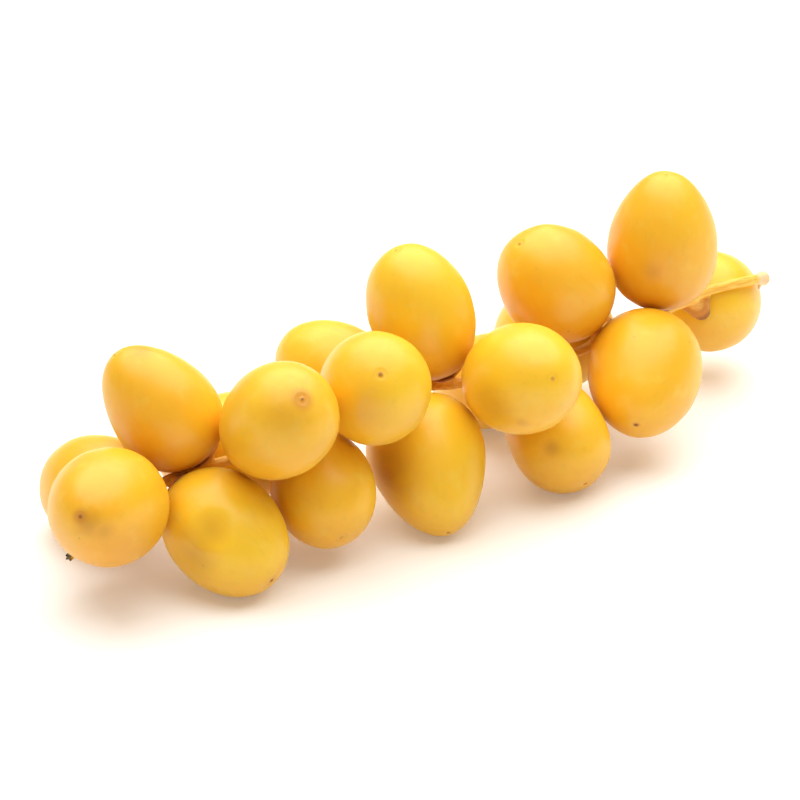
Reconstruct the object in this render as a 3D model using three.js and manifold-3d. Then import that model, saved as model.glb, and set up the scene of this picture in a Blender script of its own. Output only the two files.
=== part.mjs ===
// A picked strand of yellow, crisp dates, lying on a table.
// Millimetres, +Z up. The strand runs along X, from its dried tip at -X to its torn end at +X.
// Z = 0 is the table, and the origin is under the middle of the cluster.
import * as THREE from "three";
import { mergeVertices } from "three/addons/utils/BufferGeometryUtils.js";
import Module from "manifold-3d";

const wasm = await Module();
wasm.setup();

// The strand's route: points on its centre line, with a small bend at each group of dates.
const STRAND_ROUTE = [
  [-97.4, 1, 9.4], [-92, 2, 11.5], [-85, 3, 15.5], [-76, 1, 20.5], [-66, 1, 21.5], [-50, -1, 23.5],
  [-33, 2, 24.5], [-15, -1, 25.5], [-2, 2, 25.5], [13, -2, 25.5], [30, 2, 24], [47, 4, 21.5],
  [57, 2, 26.5], [70, 0, 28.5], [84, 0.5, 30], [94.5, -0.3, 30], [102, 2, 28],
];
const TIP_RADIUS = 0.9;
const TORN_END_RADIUS = 1.3;
const TORN_FLARE = 0.7; // how much the torn end spreads
const TORN_SLANT = 1.2; // how far the tear runs along the strand
const THICKENING = 0.6; // below 1 the strand thickens sooner after its tip
const NODE_SWELLING = 0.4; // how much the strand thickens where a date grows
const NODE_REACH = 3; // how far the thickening spreads along the strand
const STRAND_SIDES = 9;
const STRAND_STEP = 3;

// The dried remnant at the tip: a knob with three lobes.
const KNOB_RADIUS = 1.2;
const KNOB_LENGTH = 2.6;
const KNOB_LOBE = 0.25;
const KNOB_ROOT = 1; // how far the knob is sunk into the strand

// Each date grows from the strand at the station x, out along a heading (degrees from +X
// towards +Y) and a rise (degrees above level). stem is how far its base is from the centre line,
// and heel is how much fuller it is towards its base, or towards its tip where that is negative.
const DATES = [
  { x: -79, heading: 96, rise: -19, length: 32.5, width: 26, heel: 0.04, stem: 2.6 },
  { x: -80.5, heading: -138, rise: 22, length: 34, width: 27.2, heel: 0.2, stem: 3.6 },
  { x: -60.5, heading: 147, rise: 53, length: 33, width: 25.2, heel: 0.18, stem: 3.2 },
  { x: -70.5, heading: -76, rise: -24, length: 33, width: 26.8, heel: 0.04, stem: 2.4 },
  { x: -53, heading: -93, rise: 43, length: 36, width: 26.2, heel: -0.14, stem: 6.2 },
  { x: -39.5, heading: 120, rise: -28, length: 35, width: 27.4, heel: 0.2, stem: 2.8 },
  { x: -36, heading: -102, rise: -24, length: 29.75, width: 24.8, heel: 0, stem: 3.6 },
  { x: -18.5, heading: -116, rise: 39, length: 34.25, width: 26.4, heel: -0.1, stem: 6.2 },
  { x: -8, heading: 116, rise: 7, length: 29.5, width: 23, heel: 0.02, stem: 4.6 },
  { x: -5, heading: -105, rise: -35, length: 35.5, width: 28.4, heel: 0.24, stem: 2.8 },
  { x: 5.5, heading: 146, rise: 70, length: 34.75, width: 25.2, heel: 0, stem: 3 },
  { x: 28, heading: 96, rise: -37, length: 32.25, width: 23.4, heel: 0.14, stem: 3.2 },
  { x: 13.5, heading: -98, rise: 25, length: 35.75, width: 26.6, heel: 0.02, stem: 6 },
  { x: 25.5, heading: -89, rise: -33, length: 33, width: 24.2, heel: -0.16, stem: 2.4 },
  { x: 55, heading: 98, rise: -24, length: 35.5, width: 27.6, heel: -0.06, stem: 4 },
  { x: 53, heading: 173, rise: 52, length: 32, width: 27.6, heel: 0.08, stem: 6.4 },
  { x: 66.5, heading: -132, rise: -17, length: 35, width: 28.2, heel: 0.14, stem: 4.8 },
  { x: 68, heading: 75, rise: 92, length: 35.5, width: 27.6, heel: 0.18, stem: 2.4 },
  { x: 77, heading: 36, rise: -26, length: 29.75, width: 26, heel: 0, stem: 6.4 },
];
const DATE_SIDES = 18;
const DATE_RINGS = 12;
const BLUNTNESS = 0.92; // below 1 the ends are blunter than an ellipsoid's
const SCAR_RADIUS = 0.8; // the dried style's remnant at a date's tip
const SCAR_HEIGHT = 0.4;

// The calyx cup that clasps a date's base, with three lobes.
const CUP_RADIUS = 4.6;
const CUP_LOBE = 0.18;
const CUP_WALL = 1.1;
const CUP_LIP = 0.2; // how much the cup's edge leans in
const CUP_SIDES = 12;
const NECK_RADIUS = 1.7;
const NECK_ROOT = 0.3; // how far the neck is sunk past the strand's centre line
const SEAT_GAP = 0.45; // between a cup and the date in it
const CLEARANCE = 0.3; // between the strand and any date that it passes

// The point of the table under the middle of the cluster, in the route's coordinates.
const ORIGIN = new THREE.Vector3(-1.2, -0.6, 0);

const YELLOW = 0xf0b62c;
const STRAW = 0xcf9a62;

const routePoints = STRAND_ROUTE.map(([x, y, z]) => new THREE.Vector3(x, y, z));
const centreLine = new THREE.CatmullRomCurve3(routePoints, false, "catmullrom", 0.5);

// The share of the centre line at which it reaches the station x.
function shareAtStation(x) {
  let [low, high] = [0, 1];
  for (let i = 0; i < 30; i += 1) {
    const middle = (low + high) / 2;
    if (centreLine.getPoint(middle).x < x) low = middle;
    else high = middle;
  }
  return low;
}

// A closed body through rings of points, closed to a first and a last point.
function loft(first, rings, last) {
  const sides = rings[0].length;
  const points = [first, ...rings.flat(), last];
  const index = [];
  const at = (ring, side) => 1 + ring * sides + (side % sides);
  for (let side = 0; side < sides; side += 1) {
    index.push(0, at(0, side + 1), at(0, side));
    for (let ring = 0; ring + 1 < rings.length; ring += 1) {
      const [a, b] = [at(ring, side), at(ring, side + 1)];
      const [c, d] = [at(ring + 1, side + 1), at(ring + 1, side)];
      index.push(a, b, c, a, c, d);
    }
    index.push(points.length - 1, at(rings.length - 1, side), at(rings.length - 1, side + 1));
  }
  const geometry = new THREE.BufferGeometry().setFromPoints(points);
  geometry.setIndex(index);
  return geometry;
}

function toSolid(geometry) {
  return new wasm.Manifold(new wasm.Mesh({
    numProp: 3,
    vertProperties: geometry.attributes.position.array,
    triVerts: new Uint32Array(geometry.index.array),
  }));
}

function toGeometry(solid) {
  const mesh = solid.getMesh();
  const geometry = new THREE.BufferGeometry();
  geometry.setAttribute("position", new THREE.BufferAttribute(mesh.vertProperties, 3));
  geometry.setIndex(new THREE.BufferAttribute(mesh.triVerts, 1));
  geometry.computeVertexNormals();
  return geometry;
}

function onAxis(height) {
  return new THREE.Vector3(0, 0, height);
}

// The turn that takes +Z to a direction.
function turnTo(direction) {
  return new THREE.Quaternion().setFromUnitVectors(onAxis(1), direction);
}

// A ring of points round the Z axis; radius may vary with the angle.
function ringOf(sides, radiusAt, heightAt) {
  return Array.from({ length: sides }, (_, side) => {
    const angle = (side / sides) * 2 * Math.PI;
    const radius = radiusAt(angle);
    return new THREE.Vector3(radius * Math.cos(angle), radius * Math.sin(angle), heightAt(radius));
  });
}

// A date's radius at the polar angle phi, which is 0 at its base and PI at its tip.
function dateRadius(date, phi) {
  const fullness = (1 + date.heel * Math.cos(phi)) / (1 + date.heel ** 2 / 2);
  return (date.width / 2) * Math.sin(phi) ** BLUNTNESS * fullness;
}

// The height above the base at which a date is as wide as the radius.
function heightAtRadius(date, radius) {
  const share = (2 * radius) / (date.width * (1 + date.heel));
  const phi = Math.asin(share ** (1 / BLUNTNESS));
  return (date.length / 2) * (1 - Math.cos(phi));
}

// Turns and moves a geometry that stands on the origin along Z to a date's place.
function placeAtDate(geometry, date) {
  const heading = THREE.MathUtils.degToRad(date.heading);
  const rise = THREE.MathUtils.degToRad(date.rise);
  const out = new THREE.Vector3(
    Math.cos(rise) * Math.cos(heading), Math.cos(rise) * Math.sin(heading), Math.sin(rise));
  const base = centreLine.getPoint(shareAtStation(date.x)).addScaledVector(out, date.stem);
  return geometry.applyQuaternion(turnTo(out)).translate(base.x, base.y, base.z);
}

// One date, thickened all over by grow, without the scar at its tip.
function dateRings(date, grow) {
  return Array.from({ length: DATE_RINGS - 1 }, (_, ring) => {
    const phi = ((ring + 1) / DATE_RINGS) * Math.PI;
    const height = (date.length / 2) * (1 - Math.cos(phi)) - grow * Math.cos(phi);
    return ringOf(DATE_SIDES, () => dateRadius(date, phi) + grow * Math.sin(phi), () => height);
  });
}

function dateBody(date) {
  const scarTop = date.length + SCAR_HEIGHT;
  const scar = [
    ringOf(DATE_SIDES, () => SCAR_RADIUS, () => date.length),
    ringOf(DATE_SIDES, () => SCAR_RADIUS / 2, () => scarTop),
  ];
  return placeAtDate(loft(onAxis(0), [...dateRings(date, 0), ...scar], onAxis(scarTop)), date);
}

// The room that the strand leaves round a date.
function dateRoom(date) {
  const rings = dateRings(date, CLEARANCE);
  return placeAtDate(loft(onAxis(-CLEARANCE), rings, onAxis(date.length + CLEARANCE)), date);
}

// The cup under one date, with its neck sunk into the strand.
function cupBody(date) {
  const lobed = (radius) => (angle) => radius * (1 + CUP_LOBE * Math.cos(3 * angle));
  const under = (radius) => heightAtRadius(date, radius) - CUP_WALL;
  const inside = (radius) => heightAtRadius(date, radius) - SEAT_GAP;
  const rings = [
    ringOf(CUP_SIDES, () => NECK_RADIUS * 0.8, () => -date.stem),
    ringOf(CUP_SIDES, () => NECK_RADIUS, () => -CUP_WALL - 0.2),
    ringOf(CUP_SIDES, lobed(CUP_RADIUS), under),
    ringOf(CUP_SIDES, lobed(CUP_RADIUS - CUP_LIP), inside),
    ringOf(CUP_SIDES, () => CUP_RADIUS / 2, inside),
  ];
  return placeAtDate(loft(onAxis(-date.stem - NECK_ROOT), rings, onAxis(-SEAT_GAP)), date);
}

// The strand itself, thicker towards the torn end and swollen where a date grows.
function stalkBody() {
  const steps = Math.round(centreLine.getLength() / STRAND_STEP);
  const frames = centreLine.computeFrenetFrames(steps, false);
  const rings = frames.tangents.map((tangent, step) => {
    const share = step / steps;
    const centre = centreLine.getPointAt(share);
    const near = Math.min(...DATES.map((date) => Math.abs(date.x - centre.x)));
    const torn = step === steps ? 1 : 0;
    const radius = TIP_RADIUS + (TORN_END_RADIUS - TIP_RADIUS) * share ** THICKENING
      + NODE_SWELLING * Math.exp(-((near / NODE_REACH) ** 2)) + TORN_FLARE * torn;
    return Array.from({ length: STRAND_SIDES }, (_, side) => {
      const angle = (side / STRAND_SIDES) * 2 * Math.PI;
      return centre.clone()
        .addScaledVector(frames.normals[step], radius * Math.cos(angle))
        .addScaledVector(frames.binormals[step], radius * Math.sin(angle))
        .addScaledVector(tangent, TORN_SLANT * torn * Math.cos(angle + 1));
    });
  });
  return loft(centreLine.getPoint(0), rings, centreLine.getPoint(1));
}

// The dried knob, with its root sunk into the strand's tip.
function knobBody() {
  const lobed = (radius) => (angle) => radius * (1 + KNOB_LOBE * Math.cos(3 * angle));
  const rings = [
    ringOf(CUP_SIDES, () => TIP_RADIUS * 0.7, () => -KNOB_ROOT),
    ringOf(CUP_SIDES, lobed(KNOB_RADIUS), () => KNOB_LENGTH * 0.3),
    ringOf(CUP_SIDES, lobed(KNOB_RADIUS * 0.9), () => KNOB_LENGTH),
  ];
  const knob = loft(onAxis(-KNOB_ROOT - 0.2), rings, onAxis(KNOB_LENGTH * 0.8));
  const out = centreLine.getTangent(0).negate();
  const tip = centreLine.getPoint(0);
  return knob.applyQuaternion(turnTo(out)).translate(tip.x, tip.y, tip.z);
}

// A slab below the table, which trims the resting dates to a small flat spot.
function belowTable() {
  const [reach, depth] = [200, 10];
  const slab = new THREE.BoxGeometry(reach * 2, reach, depth).translate(0, 0, -depth / 2);
  slab.deleteAttribute("normal");
  slab.deleteAttribute("uv");
  return mergeVertices(slab);
}

const cluster = new THREE.Group();
const skin = new THREE.MeshStandardMaterial({ color: YELLOW, roughness: 0.45, metalness: 0 });
const straw = new THREE.MeshStandardMaterial({ color: STRAW, roughness: 0.8, metalness: 0 });
const table = toSolid(belowTable());

let stalk = toSolid(stalkBody()).add(toSolid(knobBody()));
for (const date of DATES) stalk = stalk.add(toSolid(cupBody(date)));
for (const date of DATES) stalk = stalk.subtract(toSolid(dateRoom(date)));
const strand = new THREE.Mesh(toGeometry(stalk), straw);
strand.name = "strand";
cluster.add(strand);

DATES.forEach((date, number) => {
  const fruit = new THREE.Mesh(toGeometry(toSolid(dateBody(date)).subtract(table)), skin);
  fruit.name = `date_${String(number + 1).padStart(2, "0")}`;
  cluster.add(fruit);
});

cluster.position.copy(ORIGIN).negate();

export default cluster;
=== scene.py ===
# A picked strand of yellow, crisp dates: plump oval fruits, each in a small cup on one stalk.
# Lengths in the dictionaries are millimetres, and the scene itself is in metres.
import math
import random

import bmesh
import bpy
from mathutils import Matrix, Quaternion, Vector
from mathutils.kdtree import KDTree


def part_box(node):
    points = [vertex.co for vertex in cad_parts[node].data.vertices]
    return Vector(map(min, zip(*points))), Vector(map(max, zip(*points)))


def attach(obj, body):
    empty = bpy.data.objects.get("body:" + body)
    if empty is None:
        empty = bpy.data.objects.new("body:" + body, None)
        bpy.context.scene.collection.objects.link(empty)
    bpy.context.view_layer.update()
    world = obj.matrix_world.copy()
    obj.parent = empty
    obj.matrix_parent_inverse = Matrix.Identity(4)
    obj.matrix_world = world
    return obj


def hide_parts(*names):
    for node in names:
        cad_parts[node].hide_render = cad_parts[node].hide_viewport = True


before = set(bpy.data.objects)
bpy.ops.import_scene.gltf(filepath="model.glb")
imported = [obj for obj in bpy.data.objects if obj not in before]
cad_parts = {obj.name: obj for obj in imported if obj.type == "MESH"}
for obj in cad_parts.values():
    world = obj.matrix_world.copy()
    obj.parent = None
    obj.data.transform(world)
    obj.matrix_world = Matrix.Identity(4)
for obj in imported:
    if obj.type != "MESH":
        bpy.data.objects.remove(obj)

mm = 0.001
upward = Vector((0, 0, 1))
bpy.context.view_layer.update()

# The camera stands where the photograph was taken from.
camera = {
    "azimuth": -32.5,  # degrees, 0 looks along +Y
    "elevation": 27.5,
    "target": (-6.8, 1.6, 24.4),  # shown at the middle of the picture
    "distance": 900,
    "pixelsPerMm": 4.17,  # at the target
    "picture": 800,  # pixels, wide and high
    "sensor": 36,
    "clipStart": 0.05,  # metres
}

# Soft light from all round, and a wide lamp overhead.
light = {
    "surroundings": (1.0, 0.98, 0.94, 1),
    "surroundingsStrength": 0.3,
    "lamps": [
        {"name": "overhead lamp", "at": (190, 180, 1000), "size": 2000, "power": 27},
    ],
    "lampColour": (1.0, 0.985, 0.96),
}

floor = {
    "size": 9000,
    "colour": (0.94, 0.935, 0.92, 1),
    "roughness": 0.75,
    "glow": (1.0, 0.97, 0.91, 1),
    "glowStrength": 0.16,
    "drop": 0.02,
}

# The dates as they grow along the strand: the station x, the heading from +X towards +Y and the
# rise above level in degrees, and how far the base is from the strand's centre line. heel is how
# much fuller a date is towards its base, and ripe runs from lemon yellow (0) to orange (1). dot and
# dark are how wide and how dark the mark at the tip is, and the halo round it is orange (1) or
# pale (-1).
fruits = [
    {"x": -79, "heading": 96, "rise": -19, "length": 32.5, "width": 26,
     "heel": 0.04, "stem": 2.6, "ripe": 0.4},
    {"x": -80.5, "heading": -138, "rise": 22, "length": 34, "width": 27.2,
     "heel": 0.2, "stem": 3.6, "ripe": 0.5, "dot": 1.5, "dark": 1, "halo": 1},
    {"x": -60.5, "heading": 147, "rise": 53, "length": 33, "width": 25.2,
     "heel": 0.18, "stem": 3.2, "ripe": 0.4, "dark": 0.5},
    {"x": -70.5, "heading": -76, "rise": -24, "length": 33, "width": 26.8,
     "heel": 0.04, "stem": 2.4, "ripe": 0.15, "dot": 1.3, "dark": 0.9, "halo": 0.4},
    {"x": -53, "heading": -93, "rise": 43, "length": 36, "width": 26.2,
     "heel": -0.14, "stem": 6.2, "ripe": 0.34, "dot": 0.8, "dark": 0.8, "halo": 1},
    {"x": -39.5, "heading": 120, "rise": -28, "length": 35, "width": 27.4,
     "heel": 0.2, "stem": 2.8, "ripe": 0.25},
    {"x": -36, "heading": -102, "rise": -24, "length": 29.75, "width": 24.8,
     "heel": 0, "stem": 3.6, "ripe": 0.36, "dot": 1.4, "dark": 0.3},
    {"x": -18.5, "heading": -116, "rise": 39, "length": 34.25, "width": 26.4,
     "heel": -0.1, "stem": 6.2, "ripe": 0.15, "dot": 1.1, "dark": 0.75, "halo": 0.15},
    {"x": -8, "heading": 116, "rise": 7, "length": 29.5, "width": 23,
     "heel": 0.02, "stem": 4.6, "ripe": 0.08},
    {"x": -5, "heading": -105, "rise": -35, "length": 35.5, "width": 28.4,
     "heel": 0.24, "stem": 2.8, "ripe": 0.2, "dot": 1.1, "dark": 0.8},
    {"x": 5.5, "heading": 146, "rise": 70, "length": 34.75, "width": 25.2,
     "heel": 0, "stem": 3, "ripe": -0.15, "dot": 0.9, "dark": 0.5},
    {"x": 28, "heading": 96, "rise": -37, "length": 32.25, "width": 23.4,
     "heel": 0.14, "stem": 3.2, "ripe": 0.2},
    {"x": 13.5, "heading": -98, "rise": 25, "length": 35.75, "width": 26.6,
     "heel": 0.02, "stem": 6, "ripe": 0.18, "dot": 1.2, "dark": 0.4, "halo": 0.15},
    {"x": 25.5, "heading": -89, "rise": -33, "length": 33, "width": 24.2,
     "heel": -0.16, "stem": 2.4, "ripe": 0.36, "dark": 0.8},
    {"x": 55, "heading": 98, "rise": -24, "length": 35.5, "width": 27.6,
     "heel": -0.06, "stem": 4, "ripe": 0.15},
    {"x": 53, "heading": 173, "rise": 52, "length": 32, "width": 27.6,
     "heel": 0.08, "stem": 6.4, "ripe": 0.45, "dot": 1.1, "dark": 0.45, "halo": -0.3},
    {"x": 66.5, "heading": -132, "rise": -17, "length": 35, "width": 28.2,
     "heel": 0.14, "stem": 4.8, "ripe": 0.38, "dot": 1.5, "dark": 0.95, "halo": -0.3},
    {"x": 68, "heading": 75, "rise": 92, "length": 35.5, "width": 27.6,
     "heel": 0.18, "stem": 2.4, "ripe": 0.42, "dot": 0.8, "dark": 0.3},
    {"x": 77, "heading": 36, "rise": -26, "length": 29.75, "width": 26,
     "heel": 0, "stem": 6.4, "ripe": 0.15, "dark": 0.3},
]

# Marks on the skins, each where the photograph shows it, with its reach and depth in millimetres.
# Some of these bruise marks are painted shade where a neighbour shades a date; the rest are the
# skin's own bruises and dents.
marks = [
    {"name": "dent in the fourth date", "seenAt": (211, 530),
     "reach": 6, "dent": 1.1, "bruiseAndShade": 0.6},
    {"name": "its shaded flank", "seenAt": (193, 552),
     "reach": 9, "dent": 0.6, "bruiseAndShade": 0.75},
    {"name": "patch on the second date", "seenAt": (88, 524),
     "reach": 5, "dent": 0, "bruiseAndShade": 0.8},
    {"name": "its spread", "seenAt": (104, 531),
     "reach": 4, "dent": 0, "bruiseAndShade": 0.6},
    {"name": "dull front of the fifth date", "seenAt": (288, 418),
     "reach": 9, "dent": 0.3, "bruiseAndShade": 0.5},
    # partly the skin's own dull tint, partly painted shade from the neighbouring dates
    {"name": "dull tint and painted shade on the eighth date's side", "seenAt": (366, 408),
     "reach": 9, "dent": 0, "bruiseAndShade": 0.5},
    # partly the skin's own dull tint, partly painted shade from the neighbouring dates
    {"name": "dull tint and painted shade on the 13th date's side", "seenAt": (490, 405),
     "reach": 9, "dent": 0.2, "bruiseAndShade": 0.55},
    {"name": "its small mark", "seenAt": (522, 423),
     "reach": 2.5, "dent": 0, "bruiseAndShade": 0.7},
    {"name": "mark on the 14th date", "seenAt": (552, 448),
     "reach": 3, "dent": 0.15, "bruiseAndShade": 0.8},
    {"name": "flush on the third date", "seenAt": (140, 350),
     "reach": 5, "dent": 0, "bruiseAndShade": 0.6},
    {"name": "scuff on the 18th date", "seenAt": (652, 272),
     "reach": 4, "dent": 0.15, "bruiseAndShade": 0.5},
    # painted shade and painted reflected warmth where neighbours shade the tenth date's flank
    {"name": "painted shade on the tenth date's flank", "seenAt": (388, 474),
     "reach": 12, "dent": 0, "bruiseAndShade": 1.3},
]

# The strand's route: points on its centre line, with a small bend at each group of dates.
strand = {
    "route": [
        (-97.4, 1, 9.4), (-92, 2, 11.5), (-85, 3, 15.5), (-76, 1, 20.5), (-66, 1, 21.5),
        (-50, -1, 23.5), (-33, 2, 24.5), (-15, -1, 25.5), (-2, 2, 25.5), (13, -2, 25.5),
        (30, 2, 24), (47, 4, 21.5), (57, 2, 26.5), (70, 0, 28.5), (84, 0.5, 30),
        (94.5, -0.3, 30), (102, 2, 28),
    ],
    "origin": (-1.2, -0.6, 0),  # the route's point that lies under the middle of the cluster
    "stepsPerSpan": 12,
    "tipRadius": 0.9,
    "tornEndRadius": 1.3,
    "tornFlare": 0.7,
    "flareReach": 4.5,
    "thickening": 0.6,  # below 1, so most of it comes near the dried tip
    "nodeSwelling": 0.4,  # where a date grows
    "nodeReach": 3,
    "roundness": 4,
    "voxel": 0.26,
    "weathering": 0.16,
    "weatheringSize": 1.7,
    "stalkAlone": 2.4,  # nearer the centre line than this, no cup's colour shows
}

# The dried remnant at the tip. spread and turned are in degrees.
knob = {
    "reach": 1.7, "lobes": 3, "lobeLength": 1.2, "lobeRadius": 0.56, "spread": 26, "turned": 20,
    "core": 0.8, "coreRadii": (1.0, 1.05), "rooted": 0.5, "lobeRooted": 0.3,
}

# The torn end: short fibres, a shred that hangs from it, and the pale nub of its core.
tornEnd = {
    "fibres": 9, "length": (0.3, 0.9), "radius": 0.22, "spread": 0.3, "seed": 7,
    "nub": 1.7, "nubRadius": 0.9, "shred": 1.9, "shredRadius": 0.5,
}


def deselectAll():
    if bpy.context.object and bpy.context.object.mode != "OBJECT":
        bpy.ops.object.mode_set(mode="OBJECT")
    bpy.ops.object.select_all(action="DESELECT")


def workOn(piece):
    deselectAll()
    piece.select_set(True)
    bpy.context.view_layer.objects.active = piece


def openMesh(piece):
    workOn(piece)
    bpy.ops.object.mode_set(mode="EDIT")
    bpy.ops.mesh.select_mode(type="VERT")


def closeMesh():
    bpy.ops.object.mode_set(mode="OBJECT")


# Selects the points of the open mesh that pass a test.
def pick(piece, test):
    form = bmesh.from_edit_mesh(piece.data)
    for point in form.verts:
        point.select = test(point.co)
    form.select_flush_mode()
    bmesh.update_edit_mesh(piece.data)


def settle(piece):
    workOn(piece)
    bpy.ops.object.transform_apply(location=True, rotation=True, scale=True)


def applyModifiers(piece):
    workOn(piece)
    for modifier in list(piece.modifiers):
        bpy.ops.object.modifier_apply(modifier=modifier.name)


def copyOf(piece, name):
    copy = piece.copy()
    copy.data = piece.data.copy()
    copy.name = name
    copy.data.name = name
    bpy.context.scene.collection.objects.link(copy)
    return copy


def joinTo(piece, others):
    workOn(piece)
    for other in others:
        other.select_set(True)
    bpy.ops.object.join()


# Raises a ring through stations of (radius, height) and closes both ends.
def turnedForm(name, stations, sides):
    deselectAll()
    radius, height = stations[0]
    bpy.ops.mesh.primitive_circle_add(vertices=sides, radius=radius * mm, location=(0, 0, 0))
    piece = bpy.context.object
    piece.name = name
    openMesh(piece)
    bpy.ops.mesh.select_all(action="SELECT")
    bpy.ops.transform.translate(value=(0, 0, height * mm))
    bpy.ops.mesh.extrude_edges_move(TRANSFORM_OT_translate={"value": (0, 0, 0)})
    bpy.ops.mesh.merge(type="CENTER")
    pick(piece, lambda point: point.xy.length > radius * mm * 0.5)
    for nextRadius, nextHeight in stations[1:]:
        rise = (0, 0, (nextHeight - height) * mm)
        bpy.ops.mesh.extrude_edges_move(TRANSFORM_OT_translate={"value": rise})
        growth = nextRadius / radius
        bpy.ops.transform.resize(value=(growth, growth, 1), center_override=(0, 0, nextHeight * mm))
        radius, height = nextRadius, nextHeight
    bpy.ops.mesh.extrude_edges_move(TRANSFORM_OT_translate={"value": (0, 0, 0)})
    bpy.ops.mesh.merge(type="CENTER")
    bpy.ops.mesh.select_all(action="SELECT")
    bpy.ops.mesh.normals_make_consistent(inside=False)
    closeMesh()
    return piece


# Camera, light and floor

def viewAxes():
    azimuth = math.radians(camera["azimuth"])
    elevation = math.radians(camera["elevation"])
    back = Vector((
        math.sin(azimuth) * math.cos(elevation),
        -math.cos(azimuth) * math.cos(elevation),
        math.sin(elevation)))
    right = Vector((math.cos(azimuth), math.sin(azimuth), 0))
    return right, back.cross(right), back


def eyePoint():
    return (Vector(camera["target"]) + viewAxes()[2] * camera["distance"]) * mm


# The direction from the camera through a pixel of the picture.
def sightThrough(pixel):
    right, up, back = viewAxes()
    focal = camera["distance"] * camera["pixelsPerMm"]
    middle = camera["picture"] / 2
    across = (pixel[0] - middle) / focal
    rise = (middle - pixel[1]) / focal
    return (right * across + up * rise - back).normalized()


def addCamera():
    deselectAll()
    bpy.ops.object.camera_add(location=eyePoint())
    eye = bpy.context.object
    eye.name = "camera"
    eye.rotation_mode = "QUATERNION"
    eye.rotation_quaternion = (-viewAxes()[2]).to_track_quat("-Z", "Y")
    eye.data.sensor_width = camera["sensor"]
    focal = camera["distance"] * camera["pixelsPerMm"]
    eye.data.lens = focal / camera["picture"] * camera["sensor"]
    eye.data.clip_start = camera["clipStart"]
    bpy.context.scene.camera = eye


def addLight():
    world = bpy.data.worlds.new("white surroundings")
    bpy.context.scene.world = world
    world.use_nodes = True
    background = world.node_tree.nodes["Background"]
    background.inputs["Color"].default_value = light["surroundings"]
    background.inputs["Strength"].default_value = light["surroundingsStrength"]
    for lamp in light["lamps"]:
        deselectAll()
        place = Vector(lamp["at"]) * mm
        bpy.ops.object.light_add(type="AREA", location=place)
        made = bpy.context.object
        made.name = lamp["name"]
        made.rotation_mode = "QUATERNION"
        towards = Vector(camera["target"]) * mm - place
        made.rotation_quaternion = towards.to_track_quat("-Z", "Y")
        made.data.shape = "DISK"
        made.data.size = lamp["size"] * mm
        made.data.energy = lamp["power"]
        made.data.color = light["lampColour"]
    bpy.context.scene.view_settings.view_transform = "Standard"


def addFloor():
    deselectAll()
    drop = -floor["drop"] * mm
    bpy.ops.mesh.primitive_plane_add(size=floor["size"] * mm, location=(0, 0, drop))
    piece = bpy.context.object
    piece.name = "floor"
    settle(piece)
    finish = Finish("white floor")
    finish.set({
        "Base Color": floor["colour"],
        "Roughness": floor["roughness"],
        "Emission Color": floor["glow"],
        "Emission Strength": floor["glowStrength"],
    })
    piece.data.materials.append(finish.material)


# Finishes

# A shader socket that can be added to, multiplied and so on.
class Wire:
    def __init__(self, finish, socket):
        self.finish = finish
        self.socket = socket

    def maths(self, operation, first, second):
        return self.finish.node("ShaderNodeMath", {"operation": operation}, {0: first, 1: second})

    def __add__(self, other):
        return self.maths("ADD", self, other)

    def __radd__(self, other):
        return self.maths("ADD", other, self)

    def __sub__(self, other):
        return self.maths("SUBTRACT", self, other)

    def __rsub__(self, other):
        return self.maths("SUBTRACT", other, self)

    def __mul__(self, other):
        return self.maths("MULTIPLY", self, other)

    def __rmul__(self, other):
        return self.maths("MULTIPLY", other, self)

    def __truediv__(self, other):
        return self.maths("DIVIDE", self, other)

    def __pow__(self, other):
        return self.maths("POWER", self, other)


class Finish:
    def __init__(self, name):
        self.material = bpy.data.materials.new(name)
        self.material.use_nodes = True
        self.tree = self.material.node_tree
        self.shader = self.tree.nodes["Principled BSDF"]

    def feed(self, node, sockets):
        for socket, value in sockets.items():
            if isinstance(value, Wire):
                self.tree.links.new(value.socket, node.inputs[socket])
            else:
                node.inputs[socket].default_value = value

    def node(self, kind, settings, sockets, out=0):
        made = self.tree.nodes.new(kind)
        for setting, value in settings.items():
            setattr(made, setting, value)
        self.feed(made, sockets)
        return Wire(self, made.outputs[out])

    def set(self, sockets):
        self.feed(self.shader, sockets)

    def place(self):
        return self.node("ShaderNodeTexCoord", {}, {}, "Object")

    def attribute(self, name, out="Fac"):
        return self.node("ShaderNodeAttribute", {"attribute_name": name}, {}, out)

    def scaled(self, vector, scale):
        return self.node("ShaderNodeMapping", {}, {"Vector": vector, "Scale": scale})

    # Noise from 0 to 1, with features of about the given size in the vector's unit.
    def noise(self, vector, size, detail, turn=0.0):
        settings = {"noise_dimensions": "4D"}
        return self.node("ShaderNodeTexNoise", settings,
                         {"Vector": vector, "W": turn, "Scale": 1 / size, "Detail": detail})

    # Rises smoothly from 0 at the first value to 1 at the second.
    def fade(self, value, start, end):
        return self.node("ShaderNodeMapRange", {"interpolation_type": "SMOOTHSTEP"},
                         {"Value": value, "From Min": start, "From Max": end})

    def blend(self, factor, first, second):
        colours = {0: factor, 6: first, 7: second}
        return self.node("ShaderNodeMix", {"data_type": "RGBA"}, colours, 2)

    # A number without its sign.
    def size(self, value):
        return self.node("ShaderNodeMath", {"operation": "ABSOLUTE"}, {0: value})

    def length(self, vector):
        return self.node("ShaderNodeVectorMath", {"operation": "LENGTH"}, {0: vector}, "Value")

    def bump(self, height, depth, strength):
        return self.node("ShaderNodeBump", {},
                         {"Strength": strength, "Distance": depth, "Height": height})


# A colour from its six hex digits, as screens show it.
def shade(digits):
    parts = [int(digits[i:i + 2], 16) / 255 for i in (0, 2, 4)]
    linear = [part / 12.92 if part < 0.04 else ((part + 0.055) / 1.055) ** 2.4 for part in parts]
    return (*linear, 1)


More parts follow.
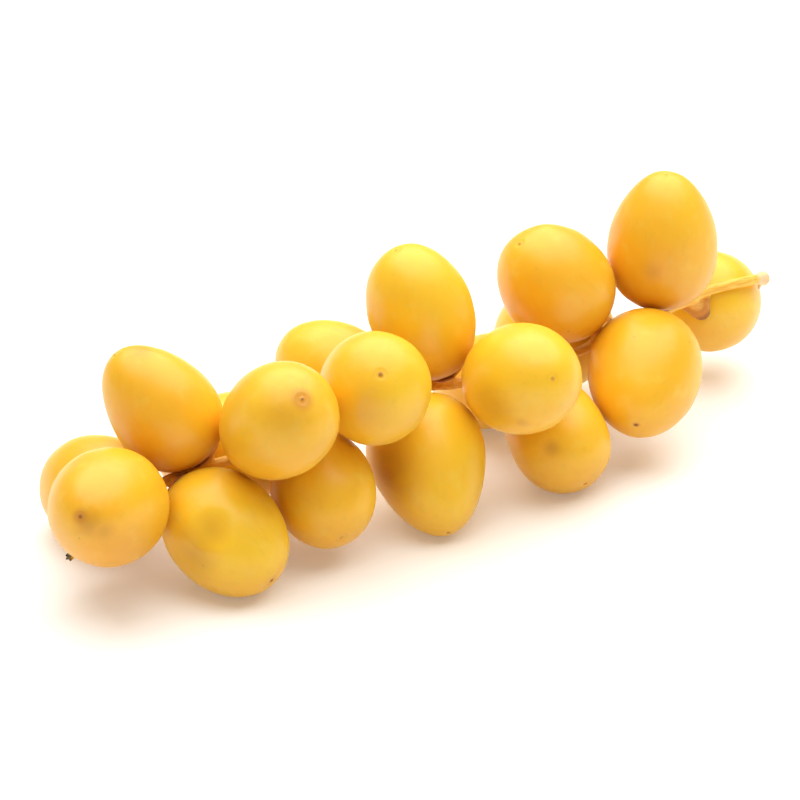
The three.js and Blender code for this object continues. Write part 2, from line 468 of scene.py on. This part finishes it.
# Colours, and the sizes of the skin's patterns in millimetres.
skin = {
    "lemon": shade("fccb2a"),
    "orange": shade("f2a31c"),
    "pale": shade("fcdc5c"),
    "olive": shade("d2a62e"),
    "flush": shade("d98a34"),
    "bruiseAndShadeColour": shade("b9781f"),
    # painted shade: the deeper colour of the sides that face the ground
    "under": shade("c07a1c"),
    "underShadeDepth": 0.36,
    "brown": shade("6b3f17"),
    "dark": shade("6d4210"),
    "broadSize": 22,
    "mottleSize": 5,
    "grainSize": 0.7,
    "streakSize": 1.6,
    "streakStretch": 0.12,  # below 1, so streaks run from tip to base
    "dotRadius": 0.4,
    "ringRadius": 1.45,
    "ringWidth": 0.22,
    "haloRadius": 3.2,
    "fleckSpacing": 6.5,
    "fleckPatches": 17,
    "relief": 0.1,
    "reliefStrength": 0.5,
    "roughness": 0.4,
    "subsurface": 0.3,
    "bleed": (1.0, 0.42, 0.1),
    "bleedScale": 3.5,
    "coat": 0.18,
    "coatRoughness": 0.35,
}


def skinFinish():
    finish = Finish("khalal skin")
    place = finish.place()
    fromTip = finish.attribute("fromTip", "Vector")
    seed = finish.attribute("seed")
    tipDistance = finish.length(fromTip)
    dotDistance = tipDistance / finish.attribute("dot")

    broad = finish.noise(place, skin["broadSize"] * mm, 1.5)
    mottle = finish.noise(place, skin["mottleSize"] * mm, 3)
    grain = finish.noise(place, skin["grainSize"] * mm, 3)
    lengthwise = finish.scaled(fromTip, (1, 1, skin["streakStretch"]))
    streaks = finish.noise(lengthwise, skin["streakSize"], 3, seed)

    ripeness = finish.attribute("ripe") + (broad - 0.5) * 0.55 + (mottle - 0.5) * 0.18
    colour = finish.blend(finish.fade(ripeness, 0, 1), skin["lemon"], skin["orange"])
    colour = finish.blend(finish.fade(mottle, 0.5, 0.78) * 0.35, colour, skin["pale"])
    colour = finish.blend(finish.fade(streaks, 0.5, 0.8) * 0.2, colour, skin["olive"])

    # Painted shade: deeper amber where the skin faces the ground.
    colour = finish.blend(finish.attribute("under") * skin["underShadeDepth"], colour, skin["under"])

    # The tip: a halo, a faint ring and the dark dot of the dried style.
    halo = finish.attribute("halo")
    nearTip = 1 - finish.fade(tipDistance, skin["haloRadius"] * 0.35, skin["haloRadius"])
    colour = finish.blend(nearTip * finish.fade(halo, 0, 1) * 0.55, colour, skin["flush"])
    colour = finish.blend(nearTip * finish.fade(halo, 0, -1) * 0.5, colour, skin["pale"])
    offRing = finish.size(tipDistance - skin["ringRadius"])
    ring = (1 - finish.fade(offRing, 0, skin["ringWidth"])) * finish.fade(mottle, 0.35, 0.6)
    colour = finish.blend(ring * 0.14, colour, skin["brown"])
    wobble = dotDistance + (grain - 0.5) * 0.35
    dotEdge = 1 - finish.fade(wobble, skin["dotRadius"] * 0.8, skin["dotRadius"] * 2.4)
    dark = finish.attribute("dark")
    colour = finish.blend(dotEdge * dark * 0.55, colour, skin["flush"])
    dot = (1 - finish.fade(wobble, skin["dotRadius"] * 0.5, skin["dotRadius"] * 1.4)) * dark
    colour = finish.blend(dot * 0.9, colour, skin["dark"])

    # Soft bruises, painted shade on some flanks, and a few small flecks.
    # Real bruises, and painted shade on flanks that neighbours shade.
    bruiseAndShade = finish.attribute("bruiseAndShade") * (0.6 + mottle * 0.6)
    colour = finish.blend(bruiseAndShade * 0.7, colour, skin["bruiseAndShadeColour"])
    spacing = {"Vector": place, "Scale": 1 / (skin["fleckSpacing"] * mm)}
    flecks = finish.node("ShaderNodeTexVoronoi", {}, spacing)
    chosen = finish.fade(finish.noise(place, skin["fleckPatches"] * mm, 0, 3.0), 0.58, 0.68)
    fleck = (1 - finish.fade(flecks + (grain - 0.5) * 0.06, 0.03, 0.075)) * chosen
    colour = finish.blend(fleck * 0.3, colour, skin["brown"])

    roughness = skin["roughness"] + (mottle - 0.5) * 0.14 + (grain - 0.5) * 0.1 + dot * 0.3
    height = grain * 0.25 + streaks * 0.35 + mottle
    finish.set({
        "Base Color": colour,
        "Roughness": roughness,
        "Normal": finish.bump(height, skin["relief"] * mm, skin["reliefStrength"]),
        "Subsurface Weight": skin["subsurface"],
        "Subsurface Radius": skin["bleed"],
        "Subsurface Scale": skin["bleedScale"] * mm,
        "Coat Weight": skin["coat"],
        "Coat Roughness": skin["coatRoughness"],
        "IOR": 1.45,
    })
    return finish.material


# Colours, sizes in millimetres, and where along the strand its ends begin to look different.
stalkLook = {
    "straw": shade("ffd052"),
    "amber": shade("f2ac34"),
    "cup": shade("d9954e"),
    "rim": shade("84401c"),
    "dried": shade("1f1c12"),
    "torn": shade("ffd2a4"),
    "nub": shade("bdbda6"),
    "fibreSize": 0.45,
    "fibreStretch": 0.09,  # below 1, so fibres run along the strand
    "patchSize": 3,
    "grainSize": 0.35,
    "relief": 0.22,
    "reliefStrength": 0.8,
    "subsurface": 0.12,
    "bleed": (1.0, 0.5, 0.25),
    "bleedScale": 1.2,
    "roughness": 0.55,
    "driedFrom": -96.4,
    "driedTo": -97.8,
    "tornFrom": 98.6,
    "tornTo": 100.8,
    "nubFrom": 103.4,
    "nubTo": 103.9,
}


def stalkFinish():
    finish = Finish("fibrous stalk")
    place = finish.place()
    along = finish.node("ShaderNodeSeparateXYZ", {}, {0: place}, "X") * (1 / mm)
    cupness = finish.attribute("cup")

    lengthwise = finish.scaled(place, (stalkLook["fibreStretch"], 1, 1))
    fibres = finish.noise(lengthwise, stalkLook["fibreSize"] * mm, 4)
    patches = finish.noise(place, stalkLook["patchSize"] * mm, 3)
    grain = finish.noise(place, stalkLook["grainSize"] * mm, 3)

    colour = finish.blend(finish.fade(fibres, 0.35, 0.7), stalkLook["straw"], stalkLook["amber"])
    colour = finish.blend(finish.fade(cupness, 2.0, 3.2) * 0.8, colour, stalkLook["cup"])
    rim = finish.fade(cupness + (patches - 0.5), 4.0, 5.2)
    colour = finish.blend(rim * 0.75, colour, stalkLook["rim"])
    colour = finish.blend(finish.fade(patches, 0.6, 0.8) * 0.2, colour, stalkLook["rim"])
    torn = finish.fade(along + (fibres - 0.5) * 1.2, stalkLook["tornFrom"], stalkLook["tornTo"])
    colour = finish.blend(torn * 0.85, colour, stalkLook["torn"])
    nub = finish.fade(along, stalkLook["nubFrom"], stalkLook["nubTo"])
    colour = finish.blend(nub, colour, stalkLook["nub"])
    dried = finish.fade(along + (fibres - 0.5) * 2, stalkLook["driedFrom"], stalkLook["driedTo"])
    colour = finish.blend(dried, colour, stalkLook["dried"])

    height = fibres * 0.8 + grain * 0.4
    finish.set({
        "Base Color": colour,
        "Roughness": stalkLook["roughness"] + (grain - 0.5) * 0.2,
        "Normal": finish.bump(height, stalkLook["relief"] * mm, stalkLook["reliefStrength"]),
        "Subsurface Weight": stalkLook["subsurface"],
        "Subsurface Radius": stalkLook["bleed"],
        "Subsurface Scale": stalkLook["bleedScale"] * mm,
    })
    return finish.material


# Where things are on the strand

def shiftedRoute():
    origin = Vector(strand["origin"])
    return [Vector(point) - origin for point in strand["route"]]


# Points along the smooth curve through the route.
def centreLine():
    route = shiftedRoute()
    route = [route[0] * 2 - route[1], *route, route[-1] * 2 - route[-2]]
    points = []
    for before, start, end, after in zip(route, route[1:], route[2:], route[3:]):
        for step in range(strand["stepsPerSpan"]):
            t = step / strand["stepsPerSpan"]
            a = (start * 3 - end * 3 + after - before) * 0.5
            b = (before * 2 - start * 5 + end * 4 - after) * 0.5
            c = (end - before) * 0.5
            points.append(a * t ** 3 + b * t ** 2 + c * t + start)
    points.append(route[-2])
    return points


def pointAtStation(points, station):
    station -= strand["origin"][0]
    for start, end in zip(points, points[1:]):
        if start.x <= station <= end.x:
            return start.lerp(end, (station - start.x) / (end.x - start.x))


def outward(fruit):
    heading = math.radians(fruit["heading"])
    rise = math.radians(fruit["rise"])
    return Vector((
        math.cos(rise) * math.cos(heading), math.cos(rise) * math.sin(heading), math.sin(rise)))


# Stands a piece that was made upright at a date's base.
def standAt(piece, fruit, scale):
    out = outward(fruit)
    piece.rotation_mode = "QUATERNION"
    piece.rotation_quaternion = upward.rotation_difference(out)
    piece.scale = scale
    piece.location = (pointAtStation(line, fruit["x"]) + out * fruit["stem"]) * mm
    settle(piece)


# The dates

date = {
    "length": 33,  # of the pattern that every date is copied from
    "width": 26,
    "sides": 72,
    "rings": 46,
    "bluntness": 0.92,  # below 1 the ends are blunter than an ellipsoid's
    # The dimple at the tip, from outside in: distance from the axis, and height over the oval.
    "tip": [
        (2.6, 0), (2.0, 0.01), (1.6, 0.03), (1.3, 0), (1.0, -0.06), (0.75, -0.1), (0.55, -0.08),
        (0.42, 0), (0.28, 0.06), (0.12, 0.08),
    ],
    "unevenness": 0.7,
    "unevennessSize": 15,
    "ripple": 0.14,
    "rippleSize": 4.5,
    "shrinkage": 0.04,  # how much a date is slimmer than its plan all round
    "flatHeight": 0.002,  # of the flat that a date rests on
    "underShadeFrom": 0.3,  # the normal's height below which painted shade begins to deepen the skin's colour
    "underShadeOver": 0.9,  # and over how much it does
    "smoothUnder": 50,  # degrees
}

# A dent's share of its mark's reach: the core that sinks whole, and how far it draws the skin along.
dent = {"core": 0.3, "spread": 0.8}


def ovalRadius(angle):
    return date["width"] / 2 * math.sin(angle) ** date["bluntness"]


def ovalHeight(angle):
    return date["length"] / 2 * (1 - math.cos(angle))


# The oval's height where it is as wide as the radius, on its tip's side or on its base's.
def heightAtRadius(radius, side):
    angle = math.asin((2 * radius / date["width"]) ** (1 / date["bluntness"]))
    return date["length"] / 2 * (1 + side * math.cos(angle))


def makeDatePattern():
    angles = [math.pi * ring / date["rings"] for ring in range(1, date["rings"])]
    stations = [(ovalRadius(angle), ovalHeight(angle)) for angle in angles]
    tipSide = date["tip"][0][0] * 1.15
    stations = [(radius, height) for radius, height in stations
                if height < date["length"] / 2 or radius > tipSide]
    stations += [(radius, heightAtRadius(radius, 1) + lift) for radius, lift in date["tip"]]
    pattern = turnedForm("date pattern", stations, date["sides"])
    fromTip = pattern.data.attributes.new("fromTip", "FLOAT_VECTOR", "POINT")
    for vertex, value in zip(pattern.data.vertices, fromTip.data):
        value.vector = vertex.co / mm - Vector((0, 0, date["length"]))
    return pattern


def unevenTexture(name, size):
    texture = bpy.data.textures.new(name, "CLOUDS")
    texture.noise_scale = size * mm
    texture.noise_depth = 1
    return texture


# Narrows a date evenly towards its tip, or towards its base where the heel is negative.
def addHeel(piece, heel):
    modifier = piece.modifiers.new("heel", "SIMPLE_DEFORM")
    modifier.deform_method = "TAPER"
    modifier.deform_axis = "Z"
    modifier.factor = -2 * heel / (1 + heel)


# Bumps that follow the place in the cluster, so that no two dates are alike.
def addUnevenness(piece, texture, depth):
    modifier = piece.modifiers.new(texture.name, "DISPLACE")
    modifier.texture = texture
    modifier.texture_coords = "LOCAL"
    modifier.strength = depth * mm
    modifier.mid_level = 0.5


def restOnFloor(piece):
    openMesh(piece)
    bpy.ops.mesh.select_all(action="SELECT")
    bpy.ops.mesh.bisect(
        plane_co=(0, 0, date["flatHeight"] * mm), plane_no=(0, 0, 1), threshold=1e-6,
        use_fill=True, clear_inner=True)
    closeMesh()


# Keeps a piece within the box of the node that it stands for.
def fitInside(piece, node):
    low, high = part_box(node)
    corners = [Vector(corner) for corner in piece.bound_box]
    scale, shift = [], []
    for axis in range(3):
        start = min(corner[axis] for corner in corners)
        end = max(corner[axis] for corner in corners)
        share = min(1, (high[axis] - low[axis]) / (end - start))
        scale.append(share)
        shift.append(max(low[axis] - start * share, 0) + min(high[axis] - end * share, 0))
    piece.scale = scale
    piece.location = shift
    settle(piece)


def paint(piece, name, values):
    attribute = piece.data.attributes.new(name, "FLOAT", "POINT")
    attribute.data.foreach_set("value", values)


# How much each point faces the ground, where painted shade makes the skin deeper in colour.
def undersideShade(piece):
    values = []
    for vertex in piece.data.vertices:
        share = min(1, max(0, (date["underShadeFrom"] - vertex.normal.z) / date["underShadeOver"]))
        values.append(share * share * (3 - 2 * share))
    return values


def makeDates():
    pattern = makeDatePattern()
    broad = unevenTexture("broad unevenness", date["unevennessSize"])
    ripple = unevenTexture("ripple", date["rippleSize"])
    finish = skinFinish()
    made = []
    for number, fruit in enumerate(fruits, 1):
        node = f"date_{number:02d}"
        piece = copyOf(pattern, f"{node}_fruit")
        heel = fruit["heel"]
        addHeel(piece, heel)
        applyModifiers(piece)
        wider = (fruit["width"] - date["shrinkage"] * 2) / date["width"]
        wider *= (1 + heel) / (1 + heel ** 2 / 2)
        longer = fruit["length"] / date["length"]
        standAt(piece, fruit, (wider, wider, longer))
        addUnevenness(piece, broad, date["unevenness"])
        addUnevenness(piece, ripple, date["ripple"])
        applyModifiers(piece)
        if min(vertex.co.z for vertex in piece.data.vertices) < 0:
            restOnFloor(piece)
        fitInside(piece, node)
        count = len(piece.data.vertices)
        paint(piece, "seed", [number * 3.7] * count)
        paint(piece, "ripe", [fruit["ripe"]] * count)
        paint(piece, "halo", [fruit.get("halo", 0)] * count)
        paint(piece, "dot", [fruit.get("dot", 1)] * count)
        paint(piece, "dark", [fruit.get("dark", 0.5)] * count)
        paint(piece, "bruiseAndShade", [0.0] * count)
        # painted shade, by how much each point faces the ground
        paint(piece, "under", undersideShade(piece))
        piece.data.materials.append(finish)
        workOn(piece)
        bpy.ops.object.shade_smooth_by_angle(angle=math.radians(date["smoothUnder"]))
        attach(piece, "root")
        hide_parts(node)
        made.append(piece)
    bpy.data.objects.remove(pattern)
    print("dates made:", len(fruits))
    return made


# The piece that is seen first through a pixel, with the place and its normal.
def seenThrough(pixel, pieces):
    eye, sight = eyePoint(), sightThrough(pixel)
    hits = []
    for piece in pieces:
        found, place, normal, face = piece.ray_cast(eye, sight)
        if found:
            hits.append(((place - eye).length, piece, place, normal))
    return min(hits, key=lambda hit: hit[0])[1:]


def addMarks(pieces):
    for mark in marks:
        piece, middle, normal = seenThrough(mark["seenAt"], pieces)
        reach = mark["reach"] * mm
        bruiseAndShadeValues = piece.data.attributes["bruiseAndShade"].data
        for vertex, bruiseAndShade in zip(piece.data.vertices, bruiseAndShadeValues):
            near = max(0, 1 - (vertex.co - middle).length / reach)
            bruiseAndShade.value = max(bruiseAndShade.value, mark["bruiseAndShade"] * near * near * (3 - 2 * near))
        if mark["dent"]:
            openMesh(piece)
            pick(piece, lambda point: (point - middle).length < reach * dent["core"])
            bpy.ops.transform.translate(
                value=normal * -mark["dent"] * mm, use_proportional_edit=True,
                proportional_edit_falloff="SMOOTH", proportional_size=reach * dent["spread"])
            closeMesh()
    print("marks made:", len(marks))


# The strand

cup = {
    "radius": 4.6,
    "lobe": 0.18,
    "sides": 48,
    "wall": 1.0,
    "lip": 0.55,
    "neck": 1.7,
    "gap": 0.12,
    "root": 3.2,  # how far the pattern's stem reaches below the date's base
    "sunk": 0.3,  # how far each cup's stem goes past the centre line
    # From the stem up, as shares of the neck or rim: the stem, the cup's outside and its inside.
    "stem": [(0.8, -3.2), (0.95, -2.0), (1.2, -1.45)],
    "outside": [(0.55, 1), (0.75, 0.95), (0.92, 0.85)],
    "inside": [0.985, 0.9, 0.5],
    "smoothUnder": 60,  # degrees
}


def makeCupPattern():
    rim = cup["radius"]

    def under(radius, wall):
        return heightAtRadius(radius, -1) - wall

    stations = [(cup["neck"] * share, height) for share, height in cup["stem"]]
    for share, wall in cup["outside"]:
        stations.append((rim * share, under(rim * share, cup["wall"] * wall)))
    stations += [(rim, under(rim, cup["lip"]))]
    stations += [(rim * share, under(rim * share, cup["gap"])) for share in cup["inside"]]
    piece = turnedForm("cup pattern", stations, cup["sides"])
    openMesh(piece)
    for side in range(cup["sides"]):
        angle = side / cup["sides"] * 2 * math.pi
        reach = 1 + cup["lobe"] * math.cos(3 * angle)
        ray = Vector((math.cos(angle), math.sin(angle)))
        pick(piece, lambda point: point.xy.length > cup["neck"] * 1.3 * mm
             and point.xy.normalized().dot(ray) > 0.999)
        bpy.ops.transform.resize(value=(reach, reach, 1), center_override=(0, 0, 0))
        lift = heightAtRadius(rim * reach, -1) - heightAtRadius(rim, -1)
        bpy.ops.transform.translate(value=(0, 0, lift * 0.8 * mm))
    closeMesh()
    return piece


def stalkRadius(point, share):
    near = min(abs(fruit["x"] - strand["origin"][0] - point.x) for fruit in fruits)
    taper = (strand["tornEndRadius"] - strand["tipRadius"]) * share ** strand["thickening"]
    swelling = strand["nodeSwelling"] * math.exp(-(near / strand["nodeReach"]) ** 2)
    fromEnd = (line[-1] - point).length / strand["flareReach"]
    flare = strand["tornFlare"] * max(0, 1 - fromEnd) ** 1.5
    return strand["tipRadius"] + taper + swelling + flare


# A tube along points, with its own radius at each, as a closed mesh.
def tubeAlong(name, points, radii, roundness):
    curve = bpy.data.curves.new(name, "CURVE")
    curve.dimensions = "3D"
    curve.bevel_depth = mm
    curve.bevel_resolution = roundness
    curve.use_fill_caps = True
    spline = curve.splines.new("POLY")
    spline.points.add(len(points) - 1)
    for knot, point, radius in zip(spline.points, points, radii):
        knot.co = (*(point * mm), 1)
        knot.radius = radius
    tube = bpy.data.objects.new(name, curve)
    bpy.context.scene.collection.objects.link(tube)
    workOn(tube)
    bpy.ops.object.convert(target="MESH")
    return bpy.context.object


def makeStalk():
    steps = len(line) - 1
    radii = [stalkRadius(point, number / steps) for number, point in enumerate(line)]
    return tubeAlong("stalk", line, radii, strand["roundness"])


# The dried remnant at the tip: three small withered lobes round a core.
def makeKnob():
    tip = line[0]
    out = (line[0] - line[1]).normalized()
    turn = upward.rotation_difference(out)
    core = [tip - out * knob["rooted"], tip + out * knob["core"]]
    pieces = [tubeAlong("knob core", core, knob["coreRadii"], 3)]
    for lobe in range(knob["lobes"]):
        spin = Quaternion(upward, math.radians(360 / knob["lobes"] * lobe + knob["turned"]))
        lean = Quaternion((0, 1, 0), math.radians(knob["spread"]))
        way = turn @ spin @ lean @ upward
        start = tip + out * knob["lobeRooted"]
        curl = turn @ spin @ Vector((1, 0, 0))
        points = [start, start + way * knob["lobeLength"] * 0.6,
                  start + way * knob["lobeLength"] + curl * 0.25,
                  start + way * knob["reach"] + curl * 0.2]
        radii = [knob["lobeRadius"] * size for size in (0.9, 1.0, 0.75, 0.3)]
        pieces.append(tubeAlong(f"knob lobe {lobe + 1}", points, radii, 2))
    return pieces


# Fine fibres where the strand was pulled off.
def makeFibres():
    draw = random.Random(tornEnd["seed"])
    end = line[-1]
    out = (line[-1] - line[-2]).normalized()
    side = out.cross(upward).normalized()
    over = side.cross(out)
    pieces = []
    for number in range(tornEnd["fibres"]):
        angle = 2 * math.pi * number / tornEnd["fibres"] + draw.uniform(-0.2, 0.2)
        ray = side * math.cos(angle) + over * math.sin(angle)
        foot = end + ray * strand["tornEndRadius"] * draw.uniform(0.45, 0.95) - out * 1.0
        length = draw.uniform(*tornEnd["length"])
        bend = ray * tornEnd["spread"] * draw.uniform(0.2, 1.2)
        points = [foot, foot + out * (1.0 + length * 0.4) + bend * 0.3,
                  foot + out * (1 + length) + bend]
        radii = [tornEnd["radius"] * size * draw.uniform(1.3, 2.2) for size in (1.2, 1, 0.3)]
        pieces.append(tubeAlong(f"fibre {number + 1}", points, radii, 1))
    down = -upward - out * 0.25
    foot = end - out * 1.6 - upward * strand["tornEndRadius"] * 0.7
    shred = [foot, foot + down * tornEnd["shred"] * 0.6, foot + down * tornEnd["shred"]]
    radii = [tornEnd["shredRadius"] * size for size in (1.3, 1, 0.4)]
    pieces.append(tubeAlong("shred", shred, radii, 2))
    nub = [end - out * 0.8, end + out * tornEnd["nub"] * 0.8, end + out * tornEnd["nub"]]
    radii = [tornEnd["nubRadius"] * size for size in (1.1, 1, 0.8)]
    pieces.append(tubeAlong("nub", nub, radii, 3))
    return pieces


def paintCups(piece):
    tree = KDTree(len(fruits))
    for number, fruit in enumerate(fruits):
        tree.insert(pointAtStation(line, fruit["x"]) + outward(fruit) * fruit["stem"], number)
    tree.balance()
    spine = KDTree(len(line))
    for number, point in enumerate(line):
        spine.insert(point, number)
    spine.balance()
    values = []
    for vertex in piece.data.vertices:
        fromLine = spine.find(vertex.co / mm)[2]
        values.append(tree.find(vertex.co / mm)[2] if fromLine > strand["stalkAlone"] else 0)
    paint(piece, "cup", values)


def makeStrand():
    pattern = makeCupPattern()
    cups = []
    for number, fruit in enumerate(fruits, 1):
        piece = copyOf(pattern, f"cup {number}")
        openMesh(piece)
        foot = (cup["root"] + 0.1) * mm
        pick(piece, lambda point: point.z < (0.1 - cup["root"]) * mm)
        bpy.ops.transform.translate(value=(0, 0, foot - (fruit["stem"] + cup["sunk"]) * mm))
        closeMesh()
        standAt(piece, fruit, (1, 1, 1))
        cups.append(piece)
    bpy.data.objects.remove(pattern)
    stalk = makeStalk()
    joinTo(stalk, cups + makeKnob())
    stalk.name = "strand_stalk"
    grown = stalk.modifiers.new("grown together", "REMESH")
    grown.mode = "VOXEL"
    grown.voxel_size = strand["voxel"] * mm
    weathering = unevenTexture("weathering", strand["weatheringSize"])
    addUnevenness(stalk, weathering, strand["weathering"])
    applyModifiers(stalk)
    joinTo(stalk, makeFibres())
    paintCups(stalk)
    stalk.data.materials.clear()
    stalk.data.materials.append(stalkFinish())
    workOn(stalk)
    bpy.ops.object.shade_smooth_by_angle(angle=math.radians(cup["smoothUnder"]))
    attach(stalk, "root")
    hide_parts("strand")
    print("strand made:", len(stalk.data.polygons), "faces")


line = centreLine()
addCamera()
addLight()
addFloor()
addMarks(makeDates())
makeStrand()
